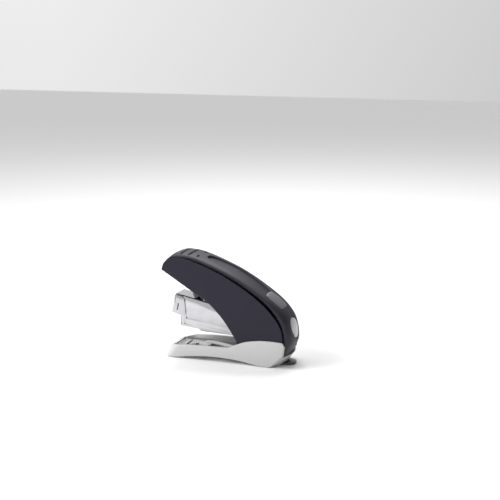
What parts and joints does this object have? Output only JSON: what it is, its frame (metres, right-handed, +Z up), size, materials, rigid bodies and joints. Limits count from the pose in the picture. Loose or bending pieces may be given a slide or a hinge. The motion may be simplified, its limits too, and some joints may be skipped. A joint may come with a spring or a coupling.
{
  "type": "desk stapler",
  "caption": "Compact desk stapler: light grey base, plated magazine and driver arm, tall dark pressing handle with a rear release button.",
  "frame": {"origin": "middle of the box round the object, on the surface that it stands on", "axes": "+Z up, the stapling nose points to -X and the rear button to +X, +Y across"},
  "size_m": [0.1138, 0.038, 0.0884],
  "materials": {
    "shell_plastic": "light grey moulded ABS, satin gloss",
    "panel_plastic": "dark navy-black polished ABS",
    "cover_plastic": "charcoal ABS, fine matt texture",
    "plated_steel": "nickel-plated pressed steel sheet",
    "hard_steel": "hardened plain steel",
    "dark_steel": "blackened pressed steel",
    "spring_steel": "drawn spring wire or strip",
    "insert_plastic": "black acetal",
    "foot_rubber": "black rubber",
    "button_plastic": "light grey moulded ABS",
    "badge_foil": "plain grey label, no mark"
  },
  "bodies": {
    "base": {"base_shell": "shell_plastic", "base_plate": "plated_steel", "anvil": "hard_steel", "plate_rivet_front": "plated_steel", "plate_rivet_rear": "plated_steel", "lift_spring": "spring_steel", "pivot_bracket": "plated_steel", "bracket_screw_front": "plated_steel", "bracket_screw_rear": "plated_steel", "magazine_pin": "hard_steel", "handle_pin": "hard_steel", "handle_spring": "spring_steel", "front_foot": "foot_rubber", "rear_foot_right": "foot_rubber", "rear_foot_left": "foot_rubber", "staple_remover": "dark_steel", "remover_screw": "plated_steel"},
    "magazine": {"magazine_frame": "plated_steel", "spring_rod": "hard_steel", "pusher_spring": "spring_steel", "latch_pin": "hard_steel"},
    "tray": {"loading_tray": "plated_steel", "tray_catch": "hard_steel"},
    "pusher": {"pusher": "insert_plastic"},
    "latch": {"tray_latch": "insert_plastic"},
    "driver_arm": {"head_channel": "plated_steel", "front_cap": "plated_steel", "driver_blade": "hard_steel", "driver_holder": "insert_plastic", "head_spring": "spring_steel"},
    "handle": {"side_panel_right": "panel_plastic", "side_panel_left": "panel_plastic", "top_cover": "cover_plastic", "badge": "badge_foil", "handle_frame": "plated_steel", "press_bracket": "plated_steel", "roller_axle": "hard_steel", "button_bracket": "insert_plastic", "button_spring": "spring_steel"},
    "roller": {"press_roller": "insert_plastic"},
    "button": {"release_button": "button_plastic"}
  },
  "joints": [
    {"name": "handle_press", "type": "hinge", "parent": "base", "child": "handle", "pos_m": [0.0285, 0, 0.0125], "axis": [0, -1, 0], "range_deg": [0, 19.2], "stiffness_Nm_per_rad": 1.2, "springref_deg": -8.59, "deforming": ["handle_spring"]},
    {"name": "magazine_close", "type": "hinge", "parent": "base", "child": "magazine", "pos_m": [0.0375, 0, 0.0145], "axis": [0, -1, 0], "range_deg": [0, 10.9], "deforming": ["lift_spring"]},
    {"name": "driver_press", "type": "hinge", "parent": "magazine", "child": "driver_arm", "pos_m": [0.0375, 0, 0.0145], "axis": [0, -1, 0], "range_deg": [0, 6], "deforming": ["head_spring"]},
    {"name": "roller_spin", "type": "hinge", "parent": "handle", "child": "roller", "pos_m": [-0.0305, 0, 0.05207], "axis": [0, 1, 0], "continuous": true},
    {"name": "button_push", "type": "slide", "parent": "handle", "child": "button", "axis": [-1, 0, 0], "range_m": [0, 0.002], "stiffness_N_per_m": 400, "springref_m": -0.0015, "deforming": ["button_spring"]},
    {"name": "latch_lift", "type": "hinge", "parent": "magazine", "child": "latch", "pos_m": [0.026, 0, 0.026], "axis": [0, 1, 0], "range_deg": [0, 12]},
    {"name": "tray_slide", "type": "slide", "parent": "magazine", "child": "tray", "axis": [-0.9986, 0, 0.0523], "range_m": [0, 0.055]},
    {"name": "pusher_slide", "type": "slide", "parent": "magazine", "child": "pusher", "axis": [0.9986, 0, -0.0523], "range_m": [0, 0.036], "stiffness_N_per_m": 60, "springref_m": -0.02, "deforming": ["pusher_spring"]}
  ],
  "couplings": [
    {"joint": "magazine_close", "follows": "handle_press", "ratio": 0.56761},
    {"joint": "driver_press", "follows": "handle_press", "ratio": 0.3124},
    {"joint": "latch_lift", "follows": "button_push", "rad_per_m": 104.42}
  ]
}
